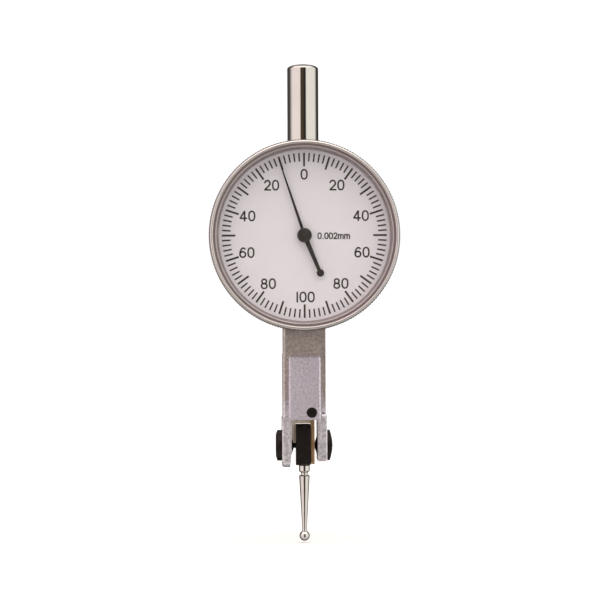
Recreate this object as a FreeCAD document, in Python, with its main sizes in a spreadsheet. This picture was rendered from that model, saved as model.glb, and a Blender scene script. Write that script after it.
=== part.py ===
import FreeCAD, Part
import math
import os
import Sketcher
from FreeCAD import Placement, Rotation, Vector

# Lever-type dial test indicator: a round dial facing -Y, a mounting stem pointing +Z,
# a body bar hanging down to a fork, and a swivelling ball stylus on the lever in the fork.
# Millimetres. The origin is on the stem's axis, where the stem leaves the round case.
# X is across the dial, +Y is towards the back of the case, +Z is along the stem.

doc = FreeCAD.newDocument("dial_test_indicator")
sheet = doc.addObject("Spreadsheet::Sheet", "sizes")
sheet.Label = "sizes"

SIZES = [
    # stem
    ("stem_dia", 6.0, "mounting stem diameter"),
    ("stem_len", 16.0, "stem length above the case"),
    ("stem_crown", 0.8, "height of the stem's crowned end"),
    ("stem_seat", 0.6, "depth of the spot face that the stem stands in"),
    ("stem_face_rad", 3.7, "radius of that spot face"),
    ("stem_root_dia", 4.4, "stem root in the case wall"),
    ("stem_root_len", 1.55, "stem root end below the case top"),
    # case
    ("dial_z", -17.0, "height of the dial's centre"),
    ("case_rad", 17.0, "case outer radius"),
    ("case_bore", 15.4, "case inner radius"),
    ("ledge_bore", 14.0, "inner radius of the two seating ledges"),
    ("case_back", 5.0, "back face of the case"),
    ("case_front", -3.6, "front shoulder of the case, behind the bezel"),
    ("spigot_rad", 16.6, "radius of the spigot that the bezel turns on"),
    ("spigot_front", -5.6, "front face of the spigot"),
    ("cover_front", 4.2, "inner face of the rear cover"),
    ("plate_front", -5.3, "front face of the movement plate"),
    ("plate_back", -4.5, "back face of the movement plate"),
    ("ledge_thick", 0.8, "thickness of the seating ledges"),
    # bezel
    ("bezel_rad", 17.85, "bezel body radius"),
    ("knurl_rad", 18.1, "radius over the knurling"),
    ("knurl_depth", 0.16, "depth of the knurling"),
    ("knurl_count", 200, "number of knurling ridges"),
    ("bezel_front", -9.0, "front face of the bezel"),
    ("bezel_back", -3.8, "back face of the bezel"),
    ("bead_mid", 17.53, "radius of the crest of the bezel's rounded rim"),
    ("bead_round", 0.32, "rounding of that rim"),
    ("bezel_bore", 16.65, "bezel bore over the spigot"),
    ("window_rad", 16.2, "inner radius of the bezel wall above the dial"),
    ("lip_rad", 16.6, "inner radius of the lip in front of the crystal"),
    ("crystal_rad", 16.85, "crystal radius"),
    ("crystal_front", -8.3, "front face of the crystal"),
    ("crystal_back", -7.5, "back face of the crystal"),
    ("gasket_back", -7.15, "back face of the crystal gasket"),
    ("dial_front", -6.2, "front face of the dial plate"),
    ("dial_back", -5.8, "back face of the dial plate"),
    ("dial_hole", 1.3, "radius of the hole in the dial plate"),
    ("wire_rad", 0.2, "bezel spring wire radius"),
    ("wire_ring", 16.62, "bezel spring ring radius"),
    ("wire_y", -4.45, "bezel spring ring position"),
    # body bar and fork
    ("bar_half", 4.1, "half width of the body bar"),
    ("neck_half", 4.0, "half width of the neck under the case"),
    ("bar_front", -4.0, "front face of the body bar"),
    ("bar_back", 4.8, "back face of the body bar"),
    ("neck_front", -3.1, "front face of the neck"),
    ("neck_low", -39.7, "lower end of the neck, top of the body bar"),
    ("bar_bevel", 0.35, "bevel on the long edges of the bar"),
    ("cover_seat", 3.45, "plane that the side cover sits on"),
    ("side_low", -50.55, "lower end of the side cover"),
    ("side_high", -34.1, "upper end of the side cover"),
    ("side_thick", 0.6, "thickness of the side cover"),
    ("pivot_z", -57.1224, "height of the lever's pivot axis"),
    ("fork_half", 2.5, "half width of the slot between the ears"),
    ("fork_top", 5.0, "slot roof above the pivot axis"),
    ("slot_round", 0.5, "rounding of the slot's left corner"),
    ("plate_round", 0.45, "rounding of the slot's right corner"),
    ("ear_outer", 4.28, "outer face of the ears"),
    ("ear_low", 3.98, "depth of the left ear below the pivot axis"),
    ("plate_low", 2.85, "depth of the right ear plate below the pivot axis"),
    ("tongue_top", 6.4, "top of the right ear plate's tongue above the pivot axis"),
    ("tongue_seat", 3.3, "plane that the tongue sits on"),
    ("tongue_screw", 5.5, "height of the tongue's screws above the pivot axis"),
    ("tongue_round", 0.6, "rounding of the tongue's outer top corner"),
    ("channel_left", 0.9, "left wall of the lever channel"),
    ("channel_front", -2.2, "front wall of the lever channel"),
    ("channel_back", 3.0, "back wall of the lever channel"),
    # dovetail
    ("dove_half", 3.0, "half width of the dovetail at its face"),
    ("dove_root", 2.4, "half width of the dovetail at its root"),
    ("dove_face", -5.6, "front face of the dovetail"),
    ("dove_knee", -4.9, "plane where the dovetail is widest"),
    ("dove_high", -39.96, "upper end of the dovetail"),
    ("dove_low", -51.96, "lower end of the dovetail"),
    ("dove_round", 0.45, "corner radius of the dovetail face"),
    ("dove_bevel", 0.25, "bevel around the dovetail face"),
    ("dove_screw_x", 1.3, "dovetail screw position across"),
    ("dove_screw_z", -50.6, "dovetail screw height"),
    ("dove_screw_rad", 1.0, "dovetail screw head radius"),
    # pivot
    ("pivot_screw_rad", 2.0, "pivot screw shank radius"),
    ("journal_rad", 0.55, "pivot journal radius"),
    ("eye_rad", 0.58, "radius of the eyes that turn on the journals"),
    ("nut_rad", 2.95, "pivot lock nut radius"),
    ("nut_face", 5.45, "outer face of the pivot lock nuts"),
    # stylus
    ("block_left", -1.6, "left face of the stylus block"),
    ("block_right", 1.15, "right face of the stylus block"),
    ("block_half", 2.2, "half depth of the stylus block"),
    ("block_rad", 4.1, "rounding of the stylus block about the pivot"),
    ("block_low", 3.75, "depth of the stylus block below the pivot axis"),
    ("bead_rad", 1.05, "stylus shoulder radius"),
    ("groove_rad", 0.65, "stylus groove radius"),
    ("taper_top", 1.02, "stylus radius at the top of its taper"),
    ("taper_low", 0.45, "stylus radius at the ball"),
    ("ball_rad", 1.0, "contact ball radius"),
    ("stylus_len", 17.4, "pivot axis to ball centre"),
    # lever
    ("lever_left", 1.25, "left face of the lever plate"),
    ("lever_right", 1.95, "right face of the lever plate"),
    ("lever_half", 1.3, "half width of the lever arm"),
    ("lever_tail", 3.6, "depth of the lever plate below the pivot axis"),
    ("lever_top", 31.0, "top of the lever arm above the pivot axis"),
    ("bridge_low", 4.24, "underside of the lever's bridge above the pivot axis"),
    ("bridge_thick", 0.66, "thickness of the lever's bridge"),
    ("bridge_round", 0.4, "rounding of the bridge's outer corner"),
    ("prong_left", -2.35, "left face of the lever's left prong"),
    ("prong_right", -1.64, "right face of the lever's left prong"),
    # gear train
    ("gear_module", 0.15, "module of every gear"),
    ("sector_teeth_round", 466, "teeth of the sector's full circle"),
    ("sector_teeth", 9, "teeth that the sector has"),
    ("pinion_teeth", 12, "teeth of each pinion"),
    ("wheel_teeth", 45, "teeth of the crown wheel and of the transfer wheel"),
    ("transfer_x", 0.15, "transfer arbor position across"),
    ("sector_left", 0.75, "left face of the sector plate"),
    ("crown_disc_back", -1.6, "back face of the crown wheel's disc"),
    ("shaft_rad", 0.35, "arbor shaft radius"),
    ("pivot_end_rad", 0.15, "arbor pivot radius"),
    ("jewel_bore", 0.17, "jewel hole radius"),
    ("cock_front", -2.75, "front face of the rear cock"),
    ("cock_back", -2.15, "back face of the rear cock"),
    # pointer
    ("pointer_angle", 18.5, "pointer angle left of straight up"),
    ("pointer_len", 15.5, "pointer length"),
    ("pointer_front", -7.0, "front face of the pointer"),
    ("pointer_thick", 0.15, "pointer thickness"),
    ("tail_len", 7.73, "distance to the counterweight"),
    ("tail_angle", 4.1, "angle between the pointer's line and its tail"),
    ("tail_rad", 0.71, "counterweight radius"),
    ("hub_rad", 1.38, "pointer hub radius"),
]
for row, (alias, value, note) in enumerate(SIZES, 1):
    sheet.set("A%d" % row, alias)
    sheet.set("B%d" % row, "%g" % value if value == int(value) else repr(value))
    sheet.set("C%d" % row, note)
    sheet.setAlias("B%d" % row, alias)
doc.recompute()


class Size:
    """A length with its number and the spreadsheet expression that gives it."""

    def __init__(self, value, text):
        self.v, self.text = float(value), text

    def __add__(self, other):
        o = size(other)
        return Size(self.v + o.v, "(%s + %s)" % (self.text, o.text))

    def __sub__(self, other):
        o = size(other)
        return Size(self.v - o.v, "(%s - %s)" % (self.text, o.text))

    def __mul__(self, other):
        o = size(other)
        return Size(self.v * o.v, "(%s * %s)" % (self.text, o.text))

    def __truediv__(self, other):
        o = size(other)
        return Size(self.v / o.v, "(%s / %s)" % (self.text, o.text))

    def __radd__(self, other):
        return size(other) + self

    def __rsub__(self, other):
        return size(other) - self

    def __rmul__(self, other):
        return size(other) * self

    def __neg__(self):
        return Size(-self.v, "(-%s)" % self.text)

    def root(self):
        return Size(math.sqrt(self.v), "sqrt(%s)" % self.text)


def size(x):
    return x if isinstance(x, Size) else Size(x, "%.10g" % x if x >= 0 else "(%.10g)" % x)


def S(alias):
    return Size(float(sheet.get(alias)), "sizes." + alias)


def bind(obj, path, x):
    x = size(x)
    if "sizes." in x.text:
        obj.setExpression(path, x.text)


def place(obj, at, turn=None):
    at = [size(c) for c in at]
    obj.Placement = Placement(Vector(*[c.v for c in at]), turn or Rotation())
    for axis, c in zip("xyz", at):
        bind(obj, "Placement.Base." + axis, c)


# ---- sketched bodies -----------------------------------------------------------------

def origin_plane(body, role):
    return [f for f in body.Origin.OriginFeatures if f.Role == role][0]


def make_sketch(body, role, loops, away=0):
    """A closed profile on one of the body's origin planes, moved along the plane's normal.
    A loop is a list of corners, or ("circle", across, up, radius)."""
    sk = body.newObject("Sketcher::SketchObject", body.Name + "_sketch")
    sk.AttachmentSupport = [(origin_plane(body, role), "")]
    sk.MapMode = "FlatFace"
    away = size(away)
    if abs(away.v) > 1e-9:
        sk.AttachmentOffset = Placement(Vector(0, 0, away.v), Rotation())
        bind(sk, "AttachmentOffset.Base.z", away)
    rules, names = [], []

    def pin(geo, pos, x, y):
        for kind, q, line in (("DistanceX", size(x), -2), ("DistanceY", size(y), -1)):
            if abs(q.v) < 1e-9:
                rules.append(Sketcher.Constraint("PointOnObject", geo, pos, line))
                names.append(None)
            elif q.v > 0:
                rules.append(Sketcher.Constraint(kind, -1, 1, geo, pos, q.v))
                names.append(q)
            else:
                rules.append(Sketcher.Constraint(kind, geo, pos, -1, 1, -q.v))
                names.append(-q)

    for loop in loops:
        if loop[0] == "circle":
            _, x, y, r = loop
            x, y, r = size(x), size(y), size(r)
            g = sk.addGeometry(Part.Circle(Vector(x.v, y.v, 0), Vector(0, 0, 1), r.v), False)
            rules.append(Sketcher.Constraint("Radius", g, r.v))
            names.append(r)
            pin(g, 3, x, y)
            continue
        corners = [(size(x), size(y)) for x, y in loop]
        ids = []
        for k, (x, y) in enumerate(corners):
            x2, y2 = corners[(k + 1) % len(corners)]
            ids.append(sk.addGeometry(
                Part.LineSegment(Vector(x.v, y.v, 0), Vector(x2.v, y2.v, 0)), False))
        for k, g in enumerate(ids):
            rules.append(Sketcher.Constraint("Coincident", g, 2, ids[(k + 1) % len(ids)], 1))
            names.append(None)
            pin(g, 1, *corners[k])
    sk.addConstraint(rules)
    for k, q in enumerate(names):
        if q is not None:
            bind(sk, "Constraints[%d]" % k, q)
    return sk


def new_body(label, at=(0, 0, 0), turn=None):
    body = doc.addObject("PartDesign::Body", label)
    body.Label = label
    place(body, at, turn)
    return body


def turned(label, axis, profile, at=(0, 0, 0)):
    """A turned piece. The profile is (along, radius) for X, (radius, along) for Y and Z."""
    body = new_body(label, at)
    sk = make_sketch(body, "XZ_Plane" if axis == "Z" else "XY_Plane", [profile])
    rev = body.newObject("PartDesign::Revolution", label + "_turn")
    rev.Profile = sk
    rev.ReferenceAxis = (sk, ["H_Axis" if axis == "X" else "V_Axis"])
    rev.Angle = 360
    body.Tip = rev
    return body


def add_pad(body, axis, loops, low, high):
    """A pad between two planes. Profiles are (y, z) for X, (x, z) for Y, (x, y) for Z."""
    low, high = size(low), size(high)
    role, away = {
        "X": ("YZ_Plane", low), "Y": ("XZ_Plane", -high), "Z": ("XY_Plane", low)}[axis]
    sk = make_sketch(body, role, loops, away)
    pad = body.newObject("PartDesign::Pad", body.Name + "_pad")
    pad.Profile = sk
    pad.Length = high.v - low.v
    bind(pad, "Length", high - low)
    body.Tip = pad
    return pad


def padded(label, axis, loops, low, high, at=(0, 0, 0), turn=None):
    body = new_body(label, at, turn)
    add_pad(body, axis, loops, low, high)
    return body


def dress(body, kind, amount, wanted):
    """A fillet or chamfer on the edges of the body's tip that wanted() picks."""
    doc.recompute()
    tip = body.Tip
    names = ["Edge%d" % k for k, e in enumerate(tip.Shape.Edges, 1) if wanted(e)]
    made = body.newObject("PartDesign::" + kind, body.Name + "_" + kind.lower())
    made.Base = (tip, names)
    prop = "Radius" if kind == "Fillet" else "Size"
    setattr(made, prop, size(amount).v)
    bind(made, prop, amount)
    body.Tip = made
    return made


# ---- primitives and booleans ---------------------------------------------------------

def box(name, x, y, z):
    obj = doc.addObject("Part::Box", name)
    for prop, (low, high) in zip(("Length", "Width", "Height"), (x, y, z)):
        setattr(obj, prop, size(high).v - size(low).v)
        bind(obj, prop, size(high) - size(low))
    place(obj, (x[0], y[0], z[0]))
    return obj


TURNS = {
    "X": Rotation(Vector(0, 1, 0), 90),
    "Y": Rotation(Vector(1, 0, 0), -90),
    "Z": Rotation(),
}


def rod(name, axis, across, radius, low, high):
    """A cylinder. across is (y, z) for X, (x, z) for Y and (x, y) for Z."""
    obj = doc.addObject("Part::Cylinder", name)
    obj.Radius, obj.Height = size(radius).v, size(high).v - size(low).v
    bind(obj, "Radius", radius)
    bind(obj, "Height", size(high) - size(low))
    a, b = across
    at = {"X": (low, a, b), "Y": (a, low, b), "Z": (a, b, low)}[axis]
    place(obj, at, TURNS[axis])
    return obj


def cone(name, axis, across, radius_low, radius_high, low, high):
    obj = doc.addObject("Part::Cone", name)
    obj.Radius1, obj.Radius2 = size(radius_low).v, size(radius_high).v
    obj.Height = size(high).v - size(low).v
    bind(obj, "Radius1", radius_low)
    bind(obj, "Radius2", radius_high)
    bind(obj, "Height", size(high) - size(low))
    a, b = across
    at = {"X": (low, a, b), "Y": (a, low, b), "Z": (a, b, low)}[axis]
    place(obj, at, TURNS[axis])
    return obj


def fuse(name, parts):
    obj = doc.addObject("Part::MultiFuse", name)
    obj.Shapes = parts
    obj.Refine = True
    return obj


def cut(name, base, tools):
    tool = tools[0] if len(tools) == 1 else fuse(name + "_cutters", tools)
    obj = doc.addObject("Part::Cut", name)
    obj.Base, obj.Tool = base, tool
    return obj


def common(name, a, b):
    obj = doc.addObject("Part::MultiCommon", name)
    obj.Shapes = [a, b]
    return obj


def group(name, parts):
    obj = doc.addObject("Part::Compound", name)
    obj.Links = parts
    obj.Label = name
    return obj


def computed(name, shape, at=(0, 0, 0), turn=None):
    obj = doc.addObject("Part::Feature", name)
    obj.Shape = shape
    place(obj, at, turn)
    return obj


def screw(name, head_rad, head_high, shank_rad, shank_len, slot_wide, at, turn):
    """A slotted cheese-head screw: its seat plane is at the given point, and its head
    points along the turned Z axis."""
    head = rod(name + "_head", "Z", (0, 0), head_rad, 0, head_high)
    shank = rod(name + "_shank", "Z", (0, 0), shank_rad, -size(shank_len), 0)
    whole = fuse(name + "_blank", [head, shank])
    slot = box(name + "_slot", (-size(head_rad) * 1.2, size(head_rad) * 1.2),
               (-size(slot_wide) / 2, size(slot_wide) / 2),
               (size(head_high) * 0.45, size(head_high) * 1.5))
    made = cut(name, whole, [slot])
    place(made, at, turn)
    return made


FACE_FRONT = Rotation(Vector(1, 0, 0), 90)     # head towards -Y
FACE_BACK = Rotation(Vector(1, 0, 0), -90)     # head towards +Y
FACE_RIGHT = Rotation(Vector(0, 1, 0), 90)     # head towards +X
parts = {}

dial_z, pivot_z = S("dial_z"), S("pivot_z")
module = S("gear_module")
pinion_pitch = module * S("pinion_teeth") / 2
wheel_pitch = module * S("wheel_teeth") / 2
sector_pitch = module * S("sector_teeth_round") / 2
centre_far = pinion_pitch + wheel_pitch
# the crown arbor is one gear distance above the sector's pitch circle, and the centre
# arbor is one gear distance from the transfer arbor, which stands a little to the right
crown_z = pivot_z + sector_pitch + pinion_pitch
transfer_rise = (centre_far * centre_far - S("transfer_x") * S("transfer_x")).root()

# ---- case and body bar ---------------------------------------------------------------

case_rad, case_bore, ledge = S("case_rad"), S("case_bore"), S("ledge_bore")
spigot, wire_y, wire_rad = S("spigot_rad"), S("wire_y"), S("wire_rad")
wire_floor = S("wire_ring") - wire_rad
drum = turned("case_drum", "Y", [
    (case_bore, S("spigot_front")),
    (spigot - 0.3, S("spigot_front")),
    (spigot, S("spigot_front") + 0.3),
    (spigot, wire_y - wire_rad - 0.05),
    (wire_floor, wire_y - wire_rad - 0.05),
    (wire_floor, wire_y + wire_rad + 0.05),
    (spigot, wire_y + wire_rad + 0.05),
    (spigot, S("case_front")),
    (case_rad, S("case_front")),
    (case_rad, S("case_back") - 0.7),
    (case_rad - 0.2, S("case_back") - 0.25),
    (case_rad - 0.6, S("case_back")),
    (case_bore, S("case_back")),
    (case_bore, S("cover_front")),
    (ledge, S("cover_front")),
    (ledge, S("cover_front") - S("ledge_thick")),
    (case_bore, S("cover_front") - S("ledge_thick")),
    (case_bore, S("plate_back") + S("ledge_thick")),
    (ledge, S("plate_back") + S("ledge_thick")),
    (ledge, S("plate_back")),
    (case_bore, S("plate_back")),
], at=(0, 0, dial_z))

bev = S("bar_bevel")
bar = padded("bar_blank", "Z", [[
    (-S("bar_half") + bev, S("bar_front")),
    (S("cover_seat"), S("bar_front")),
    (S("cover_seat"), S("bar_back")),
    (-S("bar_half") + bev, S("bar_back")),
    (-S("bar_half"), S("bar_back") - bev),
    (-S("bar_half"), S("bar_front") + bev),
]], pivot_z + S("fork_top"), S("neck_low"))
# the foot of the bar is full width on the right, under the side cover
foot = padded("bar_foot", "Z", [[
    (0, S("bar_front")),
    (S("bar_half") - bev, S("bar_front")),
    (S("bar_half"), S("bar_front") + bev),
    (S("bar_half"), S("bar_back") - bev),
    (S("bar_half") - bev, S("bar_back")),
    (0, S("bar_back")),
]], pivot_z + S("fork_top"), S("side_low") - 0.02)
neck = padded("neck_blank", "Z", [[
    (-S("neck_half") + bev, S("neck_front")),
    (S("cover_seat"), S("neck_front")),
    (S("cover_seat"), S("bar_back")),
    (-S("neck_half") + bev, S("bar_back")),
    (-S("neck_half"), S("bar_back") - bev),
    (-S("neck_half"), S("neck_front") + bev),
]], S("neck_low") - 1.0, dial_z - case_bore - 0.4)
ear_half = 4.0
left_ear = padded("ear_blank", "X", [[
    (-ear_half, pivot_z - S("ear_low")),
    (ear_half, pivot_z - S("ear_low")),
    (ear_half, pivot_z + S("fork_top") + 0.6),
    (-ear_half, pivot_z + S("fork_top") + 0.6),
]], -S("ear_outer"), -S("fork_half"))
dress(left_ear, "Fillet", 1.3, lambda e: abs(e.BoundBox.XLength - 1.78) < 0.01
      and abs(e.BoundBox.ZMin - (-57.1224 - 3.98)) < 0.01)
dress(left_ear, "Chamfer", 0.2, lambda e: e.BoundBox.XMax < -4.279)
slot_web = cut("slot_web", box(
    "slot_web_blank", (-S("fork_half") - 0.1, -S("fork_half") + S("slot_round")),
    (-ear_half, ear_half),
    (pivot_z + S("fork_top") - S("slot_round"), pivot_z + S("fork_top") + 0.1)), [
    rod("slot_web_round", "Y", (-S("fork_half") + S("slot_round"),
                                pivot_z + S("fork_top") - S("slot_round")),
        S("slot_round"), -5, 5)])
casting_blank = fuse("casting_blank", [drum, bar, foot, neck, left_ear, slot_web])
tongue_seat = S("tongue_seat")
channel = box("lever_channel", (S("channel_left"), S("cover_seat") + 0.01),
              (S("channel_front"), S("channel_back")),
              (pivot_z + S("fork_top") - 1, dial_z - case_bore + 0.9))
stop_z = -37.5
stop_rad = 0.4
stop_front = -S("lever_half") - stop_rad - 0.012
stop_back = S("lever_half") + 0.33 + stop_rad
spring_screw_z = -40.2
casting = cut("body_casting", casting_blank, [
    # spot face and bore for the stem
    rod("stem_face", "Z", (0, 0), S("stem_face_rad"), -S("stem_seat"), 3),
    rod("stem_bore", "Z", (0, 0), S("stem_root_dia") / 2, -2.2, 1),
    channel,
    # open seat for the right ear plate's tongue
    box("tongue_recess", (tongue_seat, 6), (-6, 4.05),
        (pivot_z + 4.5, pivot_z + S("tongue_top") + 0.06)),
    # pivot screw bore in the left ear
    rod("ear_bore", "X", (0, pivot_z), S("pivot_screw_rad"), -6, -2),
    # the left ear's inner face falls away below the pivot
    padded("ear_relief", "Y", [[(-2.5, pivot_z - 0.9), (-2.82, pivot_z - 4.2),
                                (-2.3, pivot_z - 4.2), (-2.3, pivot_z - 0.9)]], -5, 5),
    # stop pins, spring screw, dovetail screw, tongue screws
    rod("stop_bore_front", "X", (stop_front, stop_z), stop_rad, 0.2, 1),
    rod("stop_bore_back", "X", (stop_back, stop_z), stop_rad, 0.2, 1),
    rod("spring_bore", "Y", (1.6, spring_screw_z), 0.3, 2.9, 4.0),
    rod("dove_bore", "Y", (S("dove_screw_x"), S("dove_screw_z")), 0.5, -4.2, -2.6),
    rod("tongue_bore_front", "X", (-3.1, pivot_z + S("tongue_screw")), 0.28, 2.6, 3.5),
    rod("tongue_bore_back", "X", (3.5, pivot_z + S("tongue_screw")), 0.28, 2.6, 3.5),
] + [
    rod("side_bore_%d" % k, "X", (y, z), 0.28, 2.5, 3.6)
    for k, (y, z) in enumerate([(-2.65, -36.6), (3.9, -36.6), (-2.65, -48.9), (3.9, -48.9)])
] + [
    # ledge screws of the rear cover and of the movement plate
    rod("cover_bore_%d" % k, "Y",
        (14.7 * math.sin(math.radians(a)), dial_z + 14.7 * math.cos(math.radians(a))),
        0.4, 3.3, 4.3) for k, a in enumerate((60, 180, 300))
] + [
    rod("plate_bore_%d" % k, "Y",
        (14.7 * math.sin(math.radians(a)), dial_z + 14.7 * math.cos(math.radians(a))),
        0.4, -4.6, -3.6) for k, a in enumerate((40, 160, 280))
])
parts["body_casting"] = casting

root_rad = S("stem_root_dia") / 2
stem_rad = S("stem_dia") / 2
parts["stem"] = turned("stem", "Z", [
    (0, -S("stem_root_len")),
    (root_rad, -S("stem_root_len")),
    (root_rad, -S("stem_seat")),
    (stem_rad, -S("stem_seat")),
    (stem_rad, S("stem_len") - S("stem_crown")),
    (stem_rad - 0.07, S("stem_len") - S("stem_crown") * 0.8),
    (stem_rad - 0.3, S("stem_len") - S("stem_crown") * 0.54),
    (stem_rad - 0.8, S("stem_len") - S("stem_crown") * 0.27),
    (stem_rad - 1.6, S("stem_len") - S("stem_crown") * 0.06),
    (stem_rad - 2.2, S("stem_len")),
    (0, S("stem_len")),
])

# right ear plate: an ear below the bar and a thinner tongue in the bar's side
ear_plate = padded("ear_plate_blank", "X", [[
    (-ear_half, pivot_z - S("plate_low")),
    (ear_half, pivot_z - S("plate_low")),
    (ear_half, pivot_z + S("tongue_top")),
    (-ear_half, pivot_z + S("tongue_top")),
]], S("fork_half"), S("ear_outer"))
dress(ear_plate, "Fillet", 0.9, lambda e: abs(e.BoundBox.XLength - 1.78) < 0.01
      and e.BoundBox.ZMin > -52)
dress(ear_plate, "Chamfer", 0.2, lambda e: e.BoundBox.XMin > 4.279)
plate_corner = cut("plate_corner", box(
    "plate_corner_blank", (S("ear_outer") - S("tongue_round"), S("ear_outer") + 0.1), (-5, 5),
    (pivot_z + S("tongue_top") - S("tongue_round"), pivot_z + S("tongue_top") + 0.1)), [
    rod("plate_corner_round", "Y", (S("ear_outer") - S("tongue_round"),
                                    pivot_z + S("tongue_top") - S("tongue_round")),
        S("tongue_round"), -6, 6)])
plate_web = cut("plate_web", box(
    "plate_web_blank", (S("fork_half") - S("plate_round"), S("fork_half") + 0.1),
    (-ear_half, ear_half),
    (pivot_z + S("fork_top") - S("plate_round"), pivot_z + S("fork_top"))), [
    rod("plate_web_round", "Y", (S("fork_half") - S("plate_round"),
                                 pivot_z + S("fork_top") - S("plate_round")),
        S("plate_round"), -5, 5)])
parts["pivot_side_plate"] = cut("pivot_side_plate", fuse("plate_joined", [ear_plate, plate_web]), [
    box("ear_step", (2, tongue_seat), (-5, 5), (pivot_z + S("fork_top"), pivot_z + 8)),
    rod("plate_bore", "X", (0, pivot_z), S("pivot_screw_rad"), 2, 6),
    rod("plate_screw_bore_front", "X", (-3.1, pivot_z + S("tongue_screw")), 0.28, 3, 6),
    rod("plate_screw_bore_back", "X", (3.5, pivot_z + S("tongue_screw")), 0.28, 3, 6),
    rod("plate_head_front", "X", (-3.1, pivot_z + S("tongue_screw")), 0.42, 3.95, 6),
    rod("plate_head_back", "X", (3.5, pivot_z + S("tongue_screw")), 0.42, 3.95, 6),
    plate_corner,
])
parts["side_plate_screws"] = group("side_plate_screws", [
    screw("side_plate_screw_%d" % k, 0.42, 0.3, 0.28, 1.3, 0.14,
          (3.95, y, pivot_z + S("tongue_screw")), FACE_RIGHT) for k, y in enumerate((-3.1, 3.5))])

side_spots = [(-2.65, -36.6), (3.9, -36.6), (-2.65, -48.9), (3.9, -48.9)]
side_blank = padded("side_cover_blank", "X", [
    [(-3.0, S("side_low")), (4.45, S("side_low")), (4.45, S("side_high")), (-3.0, S("side_high"))]],
    S("cover_seat"), S("cover_seat") + S("side_thick"))
parts["side_cover"] = cut("side_cover", side_blank, [
    rod("side_hole_%d" % k, "X", (y, z), 0.28, 3, 5) for k, (y, z) in enumerate(side_spots)
] + [
    rod("side_sink_%d" % k, "X", (y, z), 0.34, 3.83, 5) for k, (y, z) in enumerate(side_spots)
])
parts["side_cover_screws"] = group("side_cover_screws", [
    screw("side_cover_screw_%d" % k, 0.34, 0.22, 0.28, 1.25, 0.12, (3.83, y, z), FACE_RIGHT)
    for k, (y, z) in enumerate(side_spots)])

# dovetail: a slab with rounded corners and bevelled edges on an undercut foot
slab = padded("dovetail_slab", "Y", [[
    (-S("dove_half"), S("dove_low")), (S("dove_half"), S("dove_low")),
    (S("dove_half"), S("dove_high")), (-S("dove_half"), S("dove_high"))]],
    S("dove_face"), S("dove_knee"))
dress(slab, "Fillet", S("dove_round"), lambda e: abs(e.BoundBox.YLength - 0.7) < 0.01
      and e.BoundBox.XLength < 0.01)
dress(slab, "Chamfer", S("dove_bevel"), lambda e: e.BoundBox.YMax < -5.59)
undercut = padded("dovetail_foot", "Z", [[
    (-S("dove_root"), S("bar_front")), (-S("dove_half"), S("dove_knee")),
    (S("dove_half"), S("dove_knee")), (S("dove_root"), S("bar_front"))]],
    S("dove_low") + S("dove_round"), S("dove_high") - S("dove_round"))
parts["dovetail_plate"] = cut("dovetail_plate", fuse("dovetail_blank", [slab, undercut]), [
    rod("dove_hole", "Y", (S("dove_screw_x"), S("dove_screw_z")), 0.5, -6, -3),
    rod("dove_sink", "Y", (S("dove_screw_x"), S("dove_screw_z")),
        S("dove_screw_rad"), -6, -5.0),
])
dove_at = (S("dove_screw_x"), S("dove_screw_z"))
hexagon = [(S("dove_screw_x") + 0.52 * math.sin(math.radians(60 * k)),
            S("dove_screw_z") + 0.52 * math.cos(math.radians(60 * k))) for k in range(6)]
dove_head = rod("dovetail_screw_head", "Y", dove_at, S("dove_screw_rad"), -5.52, -5.0)
dove_shank = rod("dovetail_screw_shank", "Y", dove_at, 0.5, -5.0, -2.65)
parts["dovetail_screw"] = cut("dovetail_screw", fuse("dovetail_screw_blank", [
    dove_head, dove_shank]), [padded("dovetail_socket", "Y", [hexagon], -6, -5.2)])

# pivot screws with a cone and a journal, locked by nuts outside the ears
for side, s in (("left", -1), ("right", 1)):
    inner = 0.55 if side == "left" else 0.3
    if side == "left":
        end = [(s * size(5.1), S("pivot_screw_rad")),
               (s * size(5.25), S("pivot_screw_rad") - 0.15), (s * size(5.25), 0)]
    else:
        end = [(s * size(5.16), S("pivot_screw_rad")), (s * size(5.27), S("pivot_screw_rad") - 0.45),
               (s * size(5.37), S("pivot_screw_rad") - 1.0),
               (s * size(5.43), S("pivot_screw_rad") - 1.6), (s * S("nut_face"), 0)]
    profile = [
        (s * size(inner), 0),
        (s * size(inner), S("journal_rad")),
        (s * size(2.0), S("journal_rad")),
        (s * S("fork_half"), S("pivot_screw_rad")),
    ] + end
    blank = turned("pivot_screw_blank_" + side, "X", profile, at=(0, 0, pivot_z))
    ends = (-6, -4.85) if side == "left" else (4.85, 6)
    parts["pivot_screw_" + side] = cut("pivot_screw_" + side, blank, [
        box("pivot_slot_" + side, ends, (-0.25, 0.25), (pivot_z - 2.5, pivot_z + 2.5))])
    out = S("nut_face")
    if side == "left":
        crown = [(s * (out - 0.28), S("nut_rad")), (s * out, S("nut_rad") - 0.78)]
    else:
        crown = [(s * (out - 0.57), S("nut_rad")), (s * (out - 0.46), S("nut_rad") - 0.3),
                 (s * (out - 0.35), S("nut_rad") - 0.62)]
        out = out - 0.27
    nut = turned("pivot_nut_blank_" + side, "X", [
        (s * S("ear_outer"), S("pivot_screw_rad")),
        (s * S("ear_outer"), S("nut_rad")),
    ] + crown + [
        (s * out, S("pivot_screw_rad")),
    ], at=(0, 0, pivot_z))
    lo, hi = (-6, -5.0) if side == "left" else (4.8, 6)
    parts["pivot_locknut_" + side] = cut("pivot_locknut_" + side, nut, [
        box("nut_slot_a_" + side, (lo, hi), (-0.35, 0.35), (pivot_z + 1.9, pivot_z + 4)),
        box("nut_slot_b_" + side, (lo, hi), (-0.35, 0.35), (pivot_z - 4, pivot_z - 1.9)),
    ])

# ---- rear cover, movement plate and bearings -----------------------------------------

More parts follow.
